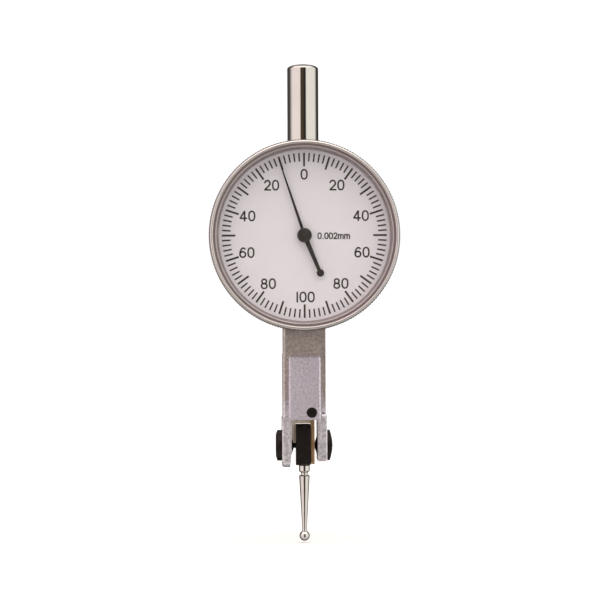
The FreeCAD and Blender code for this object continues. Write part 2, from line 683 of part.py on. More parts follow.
cover_spots = [(14.7 * math.sin(math.radians(a)), 14.7 * math.cos(math.radians(a)))
               for a in (60, 180, 300)]
cover_blank = padded("rear_cover_blank", "Y", [("circle", 0, dial_z, case_bore)],
                     S("cover_front"), S("case_back"))
parts["rear_cover"] = cut("rear_cover", cover_blank, [
    rod("cover_hole_%d" % k, "Y", (x, dial_z + z), 0.4, 3, 6)
    for k, (x, z) in enumerate(cover_spots)
] + [
    rod("cover_sink_%d" % k, "Y", (x, dial_z + z), 0.62, 4.6, 6)
    for k, (x, z) in enumerate(cover_spots)
])
parts["rear_cover_screws"] = group("rear_cover_screws", [
    screw("rear_cover_screw_%d" % k, 0.62, 0.38, 0.4, 1.25, 0.2, (x, 4.6, dial_z + z), FACE_BACK)
    for k, (x, z) in enumerate(cover_spots)])

plate_spots = [(14.7 * math.sin(math.radians(a)), 14.7 * math.cos(math.radians(a)))
               for a in (40, 160, 280)]
transfer_x = S("transfer_x")
cock_low, cock_high = crown_z - 0.7, dial_z + 3.8
parts["movement_plate"] = padded("movement_plate", "Y", [
    ("circle", 0, dial_z, case_bore),
    ("circle", 0, dial_z, 0.7),
    ("circle", transfer_x, crown_z, 0.6),
    ("circle", 0, dial_z + 3.25, 0.3),
] + [("circle", x, dial_z + z, 0.4) for x, z in plate_spots],
    S("plate_front"), S("plate_back"))
parts["movement_plate_screws"] = group("movement_plate_screws", [
    screw("movement_plate_screw_%d" % k, 0.65, 0.25, 0.4, 1.6, 0.2,
          (x, -5.3, dial_z + z), FACE_FRONT) for k, (x, z) in enumerate(plate_spots)])

# rear cock: a foot on the movement plate and an arm behind the two arbors
cock_arm = box("cock_arm", (-0.45, 0.75), (S("cock_front"), S("cock_back")), (cock_low, cock_high))
cock_foot = box("cock_foot", (-0.8, 0.8), (S("plate_back"), S("cock_back")),
                (dial_z + 2.7, cock_high))
parts["rear_cock"] = cut("rear_cock", fuse("cock_blank", [cock_arm, cock_foot]), [
    rod("cock_jewel_centre", "Y", (0, dial_z), 0.32, -3, -2),
    rod("cock_jewel_transfer", "Y", (transfer_x, crown_z), 0.32, -3, -2),
    rod("cock_thread", "Y", (0, dial_z + 3.25), 0.3, -4.6, -2.6),
])
parts["cock_screw"] = screw("cock_screw", 0.6, 0.22, 0.3, 2.6, 0.16,
                            (0, -5.3, dial_z + 3.25), FACE_FRONT)

# two posts carry the crown arbor
posts = []
for k, (lo, hi) in enumerate(((-4.7, -3.8), (3.95, 4.85))):
    posts.append(cut("crown_post_%d" % k, box("crown_post_blank_%d" % k, (lo, hi),
                     (S("plate_back"), 0.9), (crown_z - 0.9, crown_z + 0.9)),
                     [rod("crown_post_bore_%d" % k, "X", (0, crown_z), 0.45, lo - 1, hi + 1)]))
parts["crown_bearing_posts"] = group("crown_bearing_posts", posts)


def jewel(name, axis, across, outer, bore, low, high):
    return cut(name, rod(name + "_disc", axis, across, outer, low, high),
               [rod(name + "_hole", axis, across, bore, low - 1, high + 1)])


parts["jewel_bearings"] = group("jewel_bearings", [
    jewel("jewel_centre_front", "Y", (0, dial_z), 0.7, 0.28, -5.3, -4.5),
    jewel("jewel_transfer_front", "Y", (transfer_x, crown_z), 0.6, S("jewel_bore"), -5.3, -4.5),
    jewel("jewel_centre_rear", "Y", (0, dial_z), 0.32, S("jewel_bore"), -2.75, -2.15),
    jewel("jewel_transfer_rear", "Y", (transfer_x, crown_z), 0.32, S("jewel_bore"), -2.75, -2.15),
    jewel("jewel_crown_left", "X", (0, crown_z), 0.45, S("jewel_bore"), -4.7, -3.8),
    jewel("jewel_crown_right", "X", (0, crown_z), 0.45, S("jewel_bore"), 3.95, 4.85),
])

# stops and return spring of the lever
parts["lever_stop_pins"] = group("lever_stop_pins", [
    rod("stop_pin_front", "X", (stop_front, stop_z), stop_rad, 0.2, S("cover_seat")),
    rod("stop_pin_back", "X", (stop_back, stop_z), stop_rad, 0.2, S("cover_seat")),
])
leaf = padded("return_spring_blank", "X", [[
    (2.85, -39.2), (3.0, -39.2), (3.0, -41.5), (1.68, -47.6), (1.53, -47.6), (2.85, -41.4)]],
    1.2, 2.0)
parts["return_spring"] = cut("return_spring", leaf, [
    rod("return_spring_hole", "Y", (1.6, spring_screw_z), 0.3, 2, 4)])
parts["return_spring_screw"] = screw("return_spring_screw", 0.5, 0.3, 0.3, 1.15, 0.14,
                                     (1.6, 2.85, spring_screw_z), FACE_FRONT)

# ---- bezel, crystal and dial ---------------------------------------------------------

bezel_bore = S("bezel_bore")
flat_y = S("bezel_front") + 0.42
rim = [(S("bead_mid") + S("bead_round") * math.cos(math.radians(a)),
        S("bezel_front") + S("bead_round") - S("bead_round") * math.sin(math.radians(a)))
       for a in range(0, 181, 15)]
ring = turned("bezel_ring", "Y", [
    (bezel_bore, S("bezel_back")),
    (S("bezel_rad") - 0.25, S("bezel_back")),
    (S("bezel_rad"), S("bezel_back") - 0.25),
] + rim + [
    (S("bead_mid") - S("bead_round"), flat_y),
    (S("lip_rad") + 0.34, flat_y),
    (S("lip_rad") + 0.27, flat_y - 0.08),
    (S("lip_rad") + 0.18, flat_y - 0.12),
    (S("lip_rad") + 0.09, flat_y - 0.09),
    (S("lip_rad"), flat_y + 0.02),
    (S("lip_rad"), S("crystal_front")),
    (S("crystal_rad"), S("crystal_front")),
    (S("crystal_rad"), S("gasket_back")),
    (S("window_rad"), S("gasket_back")),
    (S("window_rad"), S("dial_front")),
    (bezel_bore, S("dial_front")),
    (bezel_bore, wire_y - wire_rad - 0.15),
    (S("wire_ring") + wire_rad + 0.13, wire_y - wire_rad - 0.15),
    (S("wire_ring") + wire_rad + 0.13, wire_y + wire_rad + 0.15),
    (bezel_bore, wire_y + wire_rad + 0.15),
], at=(0, 0, dial_z))
# knurling: a ring whose outside is a fine zigzag
count = int(S("knurl_count").v)
tip_rad, low_rad = S("knurl_rad").v, S("knurl_rad").v - S("knurl_depth").v
zigzag = []
for k in range(count):
    a = 2 * math.pi * k / count
    for part_of, r in ((-0.16, tip_rad), (0.16, tip_rad), (0.5, low_rad)):
        b = a + part_of * 2 * math.pi / count
        zigzag.append(Vector(r * math.sin(b), 0, r * math.cos(b)))
outline = Part.Face(Part.makePolygon(zigzag + zigzag[:1]))
knurl_face = outline.cut(Part.Face(Part.Wire(Part.makeCircle(
    S("bezel_rad").v - 0.3, Vector(0, 0, 0), Vector(0, 1, 0)))))
knurl = computed("knurl_band", knurl_face.extrude(Vector(0, 3.9, 0)), at=(0, -7.95, dial_z))
parts["bezel"] = fuse("bezel", [ring, knurl])
parts["crystal"] = turned("crystal", "Y", [
    (0, S("crystal_back")), (S("crystal_rad"), S("crystal_back")),
    (S("crystal_rad"), S("crystal_front")), (0, S("crystal_front"))], at=(0, 0, dial_z))
parts["crystal_gasket"] = turned("crystal_gasket", "Y", [
    (S("window_rad"), S("gasket_back")), (S("crystal_rad"), S("gasket_back")),
    (S("crystal_rad"), S("crystal_back")), (S("window_rad"), S("crystal_back"))],
    at=(0, 0, dial_z))
parts["dial_plate"] = padded("dial_plate", "Y", [
    ("circle", 0, dial_z, bezel_bore), ("circle", 0, dial_z, S("dial_hole"))],
    S("dial_front"), S("dial_back"))
wire = doc.addObject("Part::Torus", "bezel_spring_ring")
wire.Radius1, wire.Radius2, wire.Angle3 = S("wire_ring").v, wire_rad.v, 332
bind(wire, "Radius1", S("wire_ring"))
bind(wire, "Radius2", wire_rad)
place(wire, (0, wire_y, dial_z), Rotation(Vector(1, 0, 0), -90))
parts["bezel_spring_ring"] = wire

# ---- gears ---------------------------------------------------------------------------

OUT, IN = 0.85, 1.1          # tooth height above and below the pitch circle, in modules


def tooth(pitch_rad, teeth, middle):
    """One tooth's outline as (radius, angle), root to root, about its middle angle."""
    step, m = 2 * math.pi / teeth, module.v
    return [(pitch_rad - IN * m, middle - 0.26 * step), (pitch_rad, middle - 0.195 * step),
            (pitch_rad + OUT * m, middle - 0.085 * step),
            (pitch_rad + OUT * m, middle + 0.085 * step),
            (pitch_rad, middle + 0.195 * step), (pitch_rad - IN * m, middle + 0.26 * step)]


def gear_shape(teeth, first, axis, thick, bore=0.0):
    """A gear centred on the origin, extruded along the axis. first is the middle of one
    tooth: for X it is measured from +Y towards +Z, for Y from +X towards +Z."""
    pitch = module.v * teeth / 2
    points = []
    for k in range(teeth):
        for r, a in tooth(pitch, teeth, first + 2 * math.pi * k / teeth):
            u, w = r * math.cos(a), r * math.sin(a)
            points.append(Vector(0, u, w) if axis == "X" else Vector(u, 0, w))
    face = Part.Face(Part.makePolygon(points + points[:1]))
    along = Vector(1, 0, 0) if axis == "X" else Vector(0, 1, 0)
    if bore:
        face = face.cut(Part.Face(Part.Wire(Part.makeCircle(bore, Vector(0, 0, 0), along))))
    return face.extrude(along * thick)


pinion_n, wheel_n = int(S("pinion_teeth").v), int(S("wheel_teeth").v)
half_step = math.pi / pinion_n
end_rad, shaft_rad = S("pivot_end_rad"), S("shaft_rad")

# crown arbor along X, with the pinion that the sector drives: a gap faces the sector
crown_shaft = turned("crown_shaft", "X", [
    (-4.65, 0), (-4.65, end_rad), (-3.72, end_rad), (-3.72, shaft_rad),
    (3.87, shaft_rad), (3.87, end_rad), (4.8, end_rad), (4.8, 0)], at=(0, 0, crown_z))
crown_pinion = computed("crown_pinion", gear_shape(
    pinion_n, -math.pi / 2 + half_step, "X", 0.8), at=(0.6, 0, crown_z))
parts["crown_arbor"] = fuse("crown_arbor", [crown_shaft, crown_pinion])

# crown wheel: teeth on the face of a disc, one tooth in line with the transfer pinion
pitch_plane = transfer_x.v - pinion_pitch.v
root_plane = pitch_plane - (OUT + 0.4) * module.v
tip_plane = pitch_plane + OUT * module.v
disc_back = S("crown_disc_back").v
teeth_made = []
tangent = 2 * math.pi * wheel_pitch.v / wheel_n
for k in range(wheel_n):
    a = 2 * math.pi * k / wheel_n
    out = Vector(0, -math.cos(a), math.sin(a))
    side = Vector(0, math.sin(a), math.cos(a))
    ring_points = []
    for x, w in ((root_plane - 0.1, 0.27), (pitch_plane, 0.19), (tip_plane, 0.09)):
        ring_points.append((x, w * tangent))
    pts = [Vector(x, 0, 0) + side * w + out * 3.1 for x, w in ring_points]
    pts += [Vector(x, 0, 0) - side * w + out * 3.1 for x, w in reversed(ring_points)]
    teeth_made.append(Part.Face(Part.makePolygon(pts + pts[:1])).extrude(out * 0.5))
crown_disc = Part.makeCylinder(3.65, root_plane - disc_back, Vector(disc_back, 0, 0),
                               Vector(1, 0, 0))
crown_disc = crown_disc.fuse(Part.makeCylinder(0.9, 0.6, Vector(disc_back - 0.6, 0, 0),
                                               Vector(1, 0, 0)))
crown_shape = crown_disc.fuse(teeth_made).removeSplitter()
for k in range(5):
    a = 2 * math.pi * (k + 0.5) / 5
    crown_shape = crown_shape.cut(Part.makeCylinder(
        0.62, 3, Vector(-3, 2.05 * math.cos(a), 2.05 * math.sin(a)), Vector(1, 0, 0)))
crown_shape = crown_shape.cut(Part.makeCylinder(
    shaft_rad.v, 4, Vector(-4, 0, 0), Vector(1, 0, 0)))
parts["crown_wheel"] = computed("crown_wheel", crown_shape, at=(0, 0, crown_z))

# transfer arbor along Y: its pinion has a gap towards the crown wheel
transfer_shaft = turned("transfer_shaft", "Y", [
    (0, -5.1), (end_rad, -5.1), (end_rad, -4.44), (shaft_rad, -4.44),
    (shaft_rad, -2.81), (end_rad, -2.81), (end_rad, -2.2), (0, -2.2)],
    at=(transfer_x, 0, crown_z))
transfer_pinion = computed("transfer_pinion", gear_shape(
    pinion_n, math.pi + half_step, "Y", 0.7), at=(transfer_x, -3.82, crown_z))
parts["transfer_arbor"] = fuse("transfer_arbor", [transfer_shaft, transfer_pinion])
line_angle = math.atan2(transfer_rise.v, -transfer_x.v)
wheel_shape = gear_shape(wheel_n, line_angle, "Y", 0.33, shaft_rad.v)
for k in range(5):
    a = 2 * math.pi * k / 5 + 0.3
    wheel_shape = wheel_shape.cut(Part.makeCylinder(
        0.75, 2, Vector(2.05 * math.cos(a), -1, 2.05 * math.sin(a)), Vector(0, 1, 0)))
parts["transfer_wheel"] = computed("transfer_wheel", wheel_shape, at=(transfer_x, -4.3, crown_z))

# centre arbor along Y: its pinion has a gap towards the transfer wheel
centre_shaft = turned("centre_shaft", "Y", [
    (0, -6.95), (0.25, -6.95), (0.25, -4.46), (shaft_rad, -4.46),
    (shaft_rad, -2.81), (end_rad, -2.81), (end_rad, -2.2), (0, -2.2)], at=(0, 0, dial_z))
centre_pinion = computed("centre_pinion", gear_shape(
    pinion_n, line_angle - math.pi + half_step, "Y", 0.5), at=(0, -4.4, dial_z))
parts["centre_arbor"] = fuse("centre_arbor", [centre_shaft, centre_pinion])

# hairspring with its collet and stud
parts["hairspring_collet"] = turned("hairspring_collet", "Y", [
    (shaft_rad, -3.65), (0.75, -3.65), (0.75, -3.35), (shaft_rad, -3.35)], at=(0, 0, dial_z))
stud_x, stud_up = -2.2, 1.0
stud_angle = math.atan2(stud_up, stud_x)
turns, inner_r, outer_r = 5, 0.79, math.hypot(stud_x, stud_up)
inside, outside = [], []
steps = 28 * turns
for k in range(steps + 1):
    f = k / steps
    a = stud_angle - 2 * math.pi * turns * (1 - f)
    r = inner_r + (outer_r - inner_r) * f
    inside.append(Vector((r - 0.035) * math.cos(a), 0, (r - 0.035) * math.sin(a)))
    outside.append(Vector((r + 0.035) * math.cos(a), 0, (r + 0.035) * math.sin(a)))
coil = Part.Face(Part.makePolygon(inside + outside[::-1] + inside[:1]))
parts["hairspring"] = computed("hairspring", coil.extrude(Vector(0, 0.24, 0)),
                               at=(0, -3.62, dial_z))
stud = box("stud_blank", (stud_x - 0.5, stud_x + 0.12), (S("plate_back"), -3.2),
           (dial_z + stud_up - 0.06, dial_z + stud_up + 0.6))
parts["hairspring_stud"] = cut("hairspring_stud", stud, [
    box("stud_slot", (stud_x - 0.12, stud_x + 0.3), (-3.7, -3.0),
        (dial_z + stud_up - 0.5, dial_z + stud_up + 0.45))])

# ---- pointer -------------------------------------------------------------------------

pointer_turn = Rotation(Vector(0, 1, 0), -S("pointer_angle").v)
back = S("pointer_front") + S("pointer_thick")
ta = math.radians(S("tail_angle").v)
along_tail = (math.sin(ta), -math.cos(ta))
across_tail = (math.cos(ta), math.sin(ta))


def tail_point(far, off):
    return (far * along_tail[0] + off * across_tail[0], far * along_tail[1] + off * across_tail[1])


pointer = padded("pointer_blank", "Y", [[
    (-0.3, 0.5), (0.3, 0.5), (0.28, 1.2), (0.1, S("pointer_len") - 0.25),
    (0.03, S("pointer_len")), (-0.03, S("pointer_len")), (-0.1, S("pointer_len") - 0.25),
    (-0.28, 1.2)]], S("pointer_front"), back, at=(0, 0, dial_z), turn=pointer_turn)
add_pad(pointer, "Y", [("circle", 0, 0, 1.3)], S("pointer_front"), back)
add_pad(pointer, "Y", [[tail_point(0.5, -0.46), tail_point(0.5, 0.46),
                        tail_point(7.4, 0.33), tail_point(7.4, -0.33)]],
        S("pointer_front"), back)
add_pad(pointer, "Y", [("circle", S("tail_len") * along_tail[0], S("tail_len") * along_tail[1],
                        S("tail_rad"))], S("pointer_front"), back)
parts["pointer"] = cut("pointer", pointer, [
    rod("pointer_hole", "Y", (0, dial_z), 0.6, -8, -6)])
parts["pointer_hub"] = turned("pointer_hub", "Y", [
    (0, -7.3), (S("hub_rad") - 0.3, -7.3), (S("hub_rad"), -7.16), (S("hub_rad"), -7.0),
    (0.6, -7.0), (0.6, -6.4), (0.25, -6.4), (0.25, -6.95), (0, -6.95)], at=(0, 0, dial_z))

# ---- measuring lever and sector ------------------------------------------------------

tail_half = 1.6
plate_pts = [
    (-tail_half + 0.5, pivot_z - S("lever_tail")), (tail_half - 0.5, pivot_z - S("lever_tail")),
    (tail_half, pivot_z - S("lever_tail") + 0.5), (tail_half, pivot_z + S("bridge_low") - 0.6),
    (S("lever_half"), pivot_z + S("bridge_low")), (S("lever_half"), pivot_z + 29.5),
    (0.9, pivot_z + S("lever_top")), (-0.9, pivot_z + S("lever_top")),
    (-S("lever_half"), pivot_z + 29.5), (-S("lever_half"), pivot_z + S("bridge_low")),
    (-tail_half, pivot_z + S("bridge_low") - 0.6), (-tail_half, pivot_z - S("lever_tail") + 0.5),
]
lever_plate = padded("lever_plate", "X", [plate_pts], S("lever_left"), S("lever_right"))
bridge = box("lever_bridge", (S("prong_left"), S("lever_left")), (-1.0, 1.0),
             (pivot_z + S("bridge_low"), pivot_z + S("bridge_low") + S("bridge_thick")))
prong = box("lever_prong", (S("prong_left"), S("prong_right")), (-1.0, 1.0),
            (pivot_z + 0.5, pivot_z + S("bridge_low")))
bridge_top = pivot_z + S("bridge_low") + S("bridge_thick")
bridge_corner = cut("bridge_corner", box(
    "bridge_corner_blank", (S("prong_left") - 0.1, S("prong_left") + S("bridge_round")),
    (-1.1, 1.1), (bridge_top - S("bridge_round"), bridge_top + 0.1)), [
    rod("bridge_corner_round", "Y", (S("prong_left") + S("bridge_round"),
                                     bridge_top - S("bridge_round")),
        S("bridge_round"), -1.2, 1.2)])
rivet_z = (27.9, 29.7)
parts["measuring_lever"] = cut(
    "measuring_lever", fuse("lever_blank", [lever_plate, bridge, prong]), [
        rod("lever_eye", "X", (0, pivot_z), S("eye_rad"), 1, 2.5),
        rod("prong_clear", "X", (0, pivot_z), 0.68, -3, -1),
        cone("prong_cone", "X", (0, pivot_z), 2.25, 0.68, -2.55, -1.98),
        bridge_corner,
    ] + [rod("lever_rivet_hole_%d" % k, "X", (0, pivot_z + z), 0.35, 1, 2.5)
         for k, z in enumerate(rivet_z)])
sector_step = 2 * math.pi / S("sector_teeth_round").v
sector_n = int(S("sector_teeth").v)
sector_points = []
for k in range(sector_n):
    middle = math.pi / 2 + (k - (sector_n - 1) / 2) * sector_step
    for r, a in tooth(sector_pitch.v, S("sector_teeth_round").v, middle):
        sector_points.append(Vector(0, r * math.cos(a), r * math.sin(a)))
lo_pt, hi_pt = sector_points[0], sector_points[-1]
sector_points += [Vector(0, hi_pt.y - 0.15, hi_pt.z), Vector(0, hi_pt.y - 0.15, 33.2),
                  Vector(0, -1.0, 31.6), Vector(0, -1.0, 27.1), Vector(0, -0.7, 26.8),
                  Vector(0, 0.7, 26.8), Vector(0, 1.0, 27.1), Vector(0, 1.0, 31.6),
                  Vector(0, lo_pt.y + 0.15, 33.2), Vector(0, lo_pt.y + 0.15, lo_pt.z)]
sector_shape = Part.Face(Part.makePolygon(sector_points + sector_points[:1])).extrude(
    Vector(S("lever_left").v - S("sector_left").v, 0, 0))
sector_blank = computed("sector_blank", sector_shape, at=(S("sector_left"), 0, pivot_z))
parts["sector_gear"] = cut("sector_gear", sector_blank, [
    rod("sector_rivet_hole_%d" % k, "X", (0, pivot_z + z), 0.35, 0.5, 1.5)
    for k, z in enumerate(rivet_z)])
parts["sector_rivets"] = group("sector_rivets", [
    fuse("sector_rivet_%d" % k, [
        rod("sector_rivet_pin_%d" % k, "X", (0, pivot_z + z), 0.35,
            S("sector_left") - 0.1, S("lever_right") + 0.1),
        rod("sector_rivet_head_%d" % k, "X", (0, pivot_z + z), 0.55,
            S("lever_right"), S("lever_right") + 0.15),
        rod("sector_rivet_set_%d" % k, "X", (0, pivot_z + z), 0.5,
            S("sector_left") - 0.12, S("sector_left")),
    ]) for k, z in enumerate(rivet_z)])
parts["swivel_washer"] = turned("swivel_washer", "X", [
    (1.165, 0.6), (1.165, 1.5), (1.24, 1.5), (1.24, 0.6)], at=(0, 0, pivot_z))

# ---- stylus --------------------------------------------------------------------------

block_box = box("block_box", (S("block_left"), S("block_right")),
                (-S("block_half"), S("block_half")),
                (pivot_z - S("block_low"), pivot_z + S("block_rad")))
block_round = rod("block_round", "X", (0, pivot_z), S("block_rad"),
                  S("block_left") - 0.5, S("block_right") + 0.5)
parts["stylus_block"] = cut("stylus_block", common("block_blank", block_box, block_round), [
    rod("block_eye", "X", (0, pivot_z), S("eye_rad"), -3, 3),
    rod("block_socket", "Z", (0, 0), 0.6, pivot_z - 5, pivot_z - 1.4),
])
low = -S("block_low")
parts["contact_stylus"] = turned("contact_stylus", "Z", [
    (0, -S("stylus_len") + 0.5), (S("taper_low"), -S("stylus_len") + 0.5),
    (S("taper_low"), size(-16.0)), (S("taper_top"), size(-5.95)),
    (S("taper_top") - 0.12, size(-5.78)), (S("groove_rad"), size(-5.7)),
    (S("groove_rad"), size(-5.3)), (S("bead_rad") - 0.25, size(-5.2)),
    (S("bead_rad"), size(-4.95)), (S("bead_rad"), low - 0.2), (S("bead_rad") - 0.15, low - 0.05),
    (S("bead_rad") - 0.15, low), (0.6, low), (0.6, -1.5), (0, -1.5)],
    at=(0, 0, pivot_z))
ball = doc.addObject("Part::Sphere", "ball_blank")
ball.Radius = S("ball_rad").v
bind(ball, "Radius", S("ball_rad"))
place(ball, (0, 0, pivot_z - S("stylus_len")))
parts["contact_ball"] = cut("contact_ball", ball, [
    rod("ball_socket", "Z", (0, 0), S("taper_low"),
        pivot_z - S("stylus_len") + 0.5, pivot_z - S("stylus_len") + 2)])

# ---- export --------------------------------------------------------------------------

doc.recompute()
bad = []
for obj in doc.Objects:
    if any(word in ("Invalid", "Error") for word in obj.State):
        bad.append("%s is %s" % (obj.Name, obj.State))
for name, obj in parts.items():
    obj.Label = name
    if obj.Shape.isNull() or not obj.Shape.isValid() or obj.Shape.Volume <= 0:
        bad.append("%s has no valid shape" % name)
if bad:
    raise SystemExit("\n".join(bad))
os.makedirs("parts", exist_ok=True)
for name, obj in parts.items():
    obj.Shape.exportStep("parts/%s.step" % name)
    print("%-24s solids %2d  volume %9.3f" % (name, len(obj.Shape.Solids), obj.Shape.Volume))
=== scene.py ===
import math

import bmesh
import bpy
from mathutils import Matrix, Vector


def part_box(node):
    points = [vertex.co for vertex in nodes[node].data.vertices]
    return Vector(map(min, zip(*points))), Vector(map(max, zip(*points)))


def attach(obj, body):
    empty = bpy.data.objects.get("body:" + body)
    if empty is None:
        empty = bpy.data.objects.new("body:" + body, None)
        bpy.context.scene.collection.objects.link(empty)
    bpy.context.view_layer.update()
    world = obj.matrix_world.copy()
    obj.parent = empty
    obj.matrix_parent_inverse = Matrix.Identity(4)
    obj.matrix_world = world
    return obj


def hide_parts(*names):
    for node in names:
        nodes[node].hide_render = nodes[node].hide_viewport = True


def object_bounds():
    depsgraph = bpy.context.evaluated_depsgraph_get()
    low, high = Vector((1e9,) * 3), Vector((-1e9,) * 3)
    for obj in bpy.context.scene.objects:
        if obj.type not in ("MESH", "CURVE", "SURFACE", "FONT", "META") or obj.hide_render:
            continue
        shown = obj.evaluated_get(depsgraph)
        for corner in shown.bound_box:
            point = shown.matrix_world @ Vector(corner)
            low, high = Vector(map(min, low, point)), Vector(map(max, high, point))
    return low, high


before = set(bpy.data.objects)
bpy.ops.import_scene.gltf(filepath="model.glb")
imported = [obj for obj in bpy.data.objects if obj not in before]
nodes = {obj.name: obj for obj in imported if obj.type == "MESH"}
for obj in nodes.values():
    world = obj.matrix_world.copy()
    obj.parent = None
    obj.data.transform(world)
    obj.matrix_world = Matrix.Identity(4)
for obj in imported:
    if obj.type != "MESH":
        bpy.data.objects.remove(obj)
low0, high0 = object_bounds()
MM = 0.001

# ---- places that come from the frame --------------------------------------------------

dial_low, dial_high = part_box("dial_plate")
DIAL_Z = (dial_low.z + dial_high.z) / 2
DIAL_Y = dial_low.y                      # front face of the dial plate
FLOOR_Z = low0.z - 0.0004

# ---- node helpers ----------------------------------------------------------------------


def new_material(name):
    m = bpy.data.materials.new(name)
    m.use_nodes = True
    m.node_tree.nodes.clear()
    return m


class Tree:
    """Short ways to add and join nodes of one node tree."""

    def __init__(self, tree):
        self.tree = tree
        self.count = 0

    def add(self, kind, **values):
        n = self.tree.nodes.new(kind)
        n.location = (-200 * (self.count % 8), -220 * (self.count // 8))
        self.count += 1
        for key, v in values.items():
            setattr(n, key, v)
        return n

    def join(self, a, b):
        self.tree.links.new(a, b)

    def feed(self, socket, v):
        if isinstance(v, bpy.types.NodeSocket):
            self.join(v, socket)
        else:
            socket.default_value = v

    def math(self, op, a, b=0.0, c=None, clamp=False):
        n = self.add("ShaderNodeMath", operation=op, use_clamp=clamp)
        self.feed(n.inputs[0], a)
        self.feed(n.inputs[1], b)
        if c is not None:
            self.feed(n.inputs[2], c)
        return n.outputs[0]

    def ramp(self, v, a, b, low=0.0, high=1.0, smooth=True):
        n = self.add("ShaderNodeMapRange", interpolation_type="SMOOTHSTEP" if smooth else "LINEAR",
                     clamp=True)
        self.feed(n.inputs["Value"], v)
        n.inputs["From Min"].default_value = a
        n.inputs["From Max"].default_value = b
        n.inputs["To Min"].default_value = low
        n.inputs["To Max"].default_value = high
        return n.outputs["Result"]

    def mix(self, fac, a, b, kind="MIX"):
        n = self.add("ShaderNodeMix", data_type="RGBA", blend_type=kind)
        n.clamp_factor = True
        self.feed(n.inputs[0], fac)
        self.feed(n.inputs[6], a)
        self.feed(n.inputs[7], b)
        return n.outputs[2]

    def noise(self, coords, scale, detail=2.0, rough=0.5, distortion=0.0):
        n = self.add("ShaderNodeTexNoise", noise_dimensions="3D")
        self.join(coords, n.inputs["Vector"])
        n.inputs["Scale"].default_value = scale
        n.inputs["Detail"].default_value = detail
        n.inputs["Roughness"].default_value = rough
        n.inputs["Distortion"].default_value = distortion
        return n.outputs["Fac"]

    def coords(self, scale=(1, 1, 1)):
        n = self.add("ShaderNodeTexCoord")
        if tuple(scale) == (1, 1, 1):
            return n.outputs["Object"]
        m = self.add("ShaderNodeMapping")
        self.join(n.outputs["Object"], m.inputs["Vector"])
        m.inputs["Scale"].default_value = scale
        return m.outputs["Vector"]

    def bump(self, height, strength, distance):
        n = self.add("ShaderNodeBump")
        n.inputs["Strength"].default_value = strength
        n.inputs["Distance"].default_value = distance
        self.join(height, n.inputs["Height"])
        return n.outputs["Normal"]


def grey(c, k):
    return (c[0] * k, c[1] * k, c[2] * k, 1.0)


def principled(t, **values):
    p = t.add("ShaderNodeBsdfPrincipled")
    o = t.add("ShaderNodeOutputMaterial")
    t.join(p.outputs[0], o.inputs["Surface"])
    for key, v in values.items():
        t.feed(p.inputs[key], v)
    return p


def grained_metal(name, colour, rough, spread=0.05, grain=0.00022, tone=0.10, relief=0.18,
                  stains=0.06, stretch=(1, 1, 1), other=None, along=None, places=(0, 1)):
    """Metal with a fine grain in its colour, gloss and relief, and faint larger marks.

    With other, the colour turns from colour to other between two places along an axis; here that paints
    shade on one part of a piece, as lit and shaded copies of one metal.
    """
    m = new_material(name)
    t = Tree(m.node_tree)
    c = t.coords(stretch)
    fine = t.noise(c, 1 / grain, 3.0, 0.62)
    wide = t.noise(t.coords(), 160.0, 3.0, 0.55, 0.4)
    level = t.ramp(fine, 0.32, 0.68, smooth=False)
    marks = t.ramp(wide, 0.35, 0.70)
    base = t.mix(level, grey(colour, 1 - tone), grey(colour, 1 + tone))
    if other is not None:
        s = t.add("ShaderNodeSeparateXYZ")
        t.join(t.coords(), s.inputs[0])
        second = t.mix(level, grey(other, 1 - tone), grey(other, 1 + tone))
        base = t.mix(t.ramp(s.outputs["XYZ".index(along)], places[0] * MM, places[1] * MM), base, second)
    base = t.mix(t.math("MULTIPLY", marks, stains), base, grey(colour, 0.72))
    gloss = t.math("ADD", t.ramp(fine, 0.3, 0.7, rough - spread, rough + spread, False),
                   t.math("MULTIPLY", marks, stains * 0.6))
    principled(t, **{"Base Color": base, "Metallic": 1.0, "Roughness": gloss,
                     "Normal": t.bump(fine, relief, grain * 0.35)})
    return m


def polished_metal(name, colour, rough, scratch=0.00006, tone=0.03, along=(1, 1, 0.04)):
    """Polished metal with hairline polishing marks that follow one direction."""
    m = new_material(name)
    t = Tree(m.node_tree)
    hair = t.noise(t.coords(along), 1 / scratch, 2.0, 0.5)
    film = t.noise(t.coords(), 220.0, 3.0, 0.5, 0.3)
    base = t.mix(t.ramp(film, 0.3, 0.75), grey(colour, 1 + tone), grey(colour, 1 - tone))
    gloss = t.math("ADD", t.ramp(hair, 0.3, 0.7, rough * 0.7, rough * 1.25, False),
                   t.ramp(film, 0.4, 0.8, 0.0, rough * 0.35))
    principled(t, **{"Base Color": base, "Metallic": 1.0, "Roughness": gloss,
                     "Normal": t.bump(hair, 0.04, scratch)})
    return m


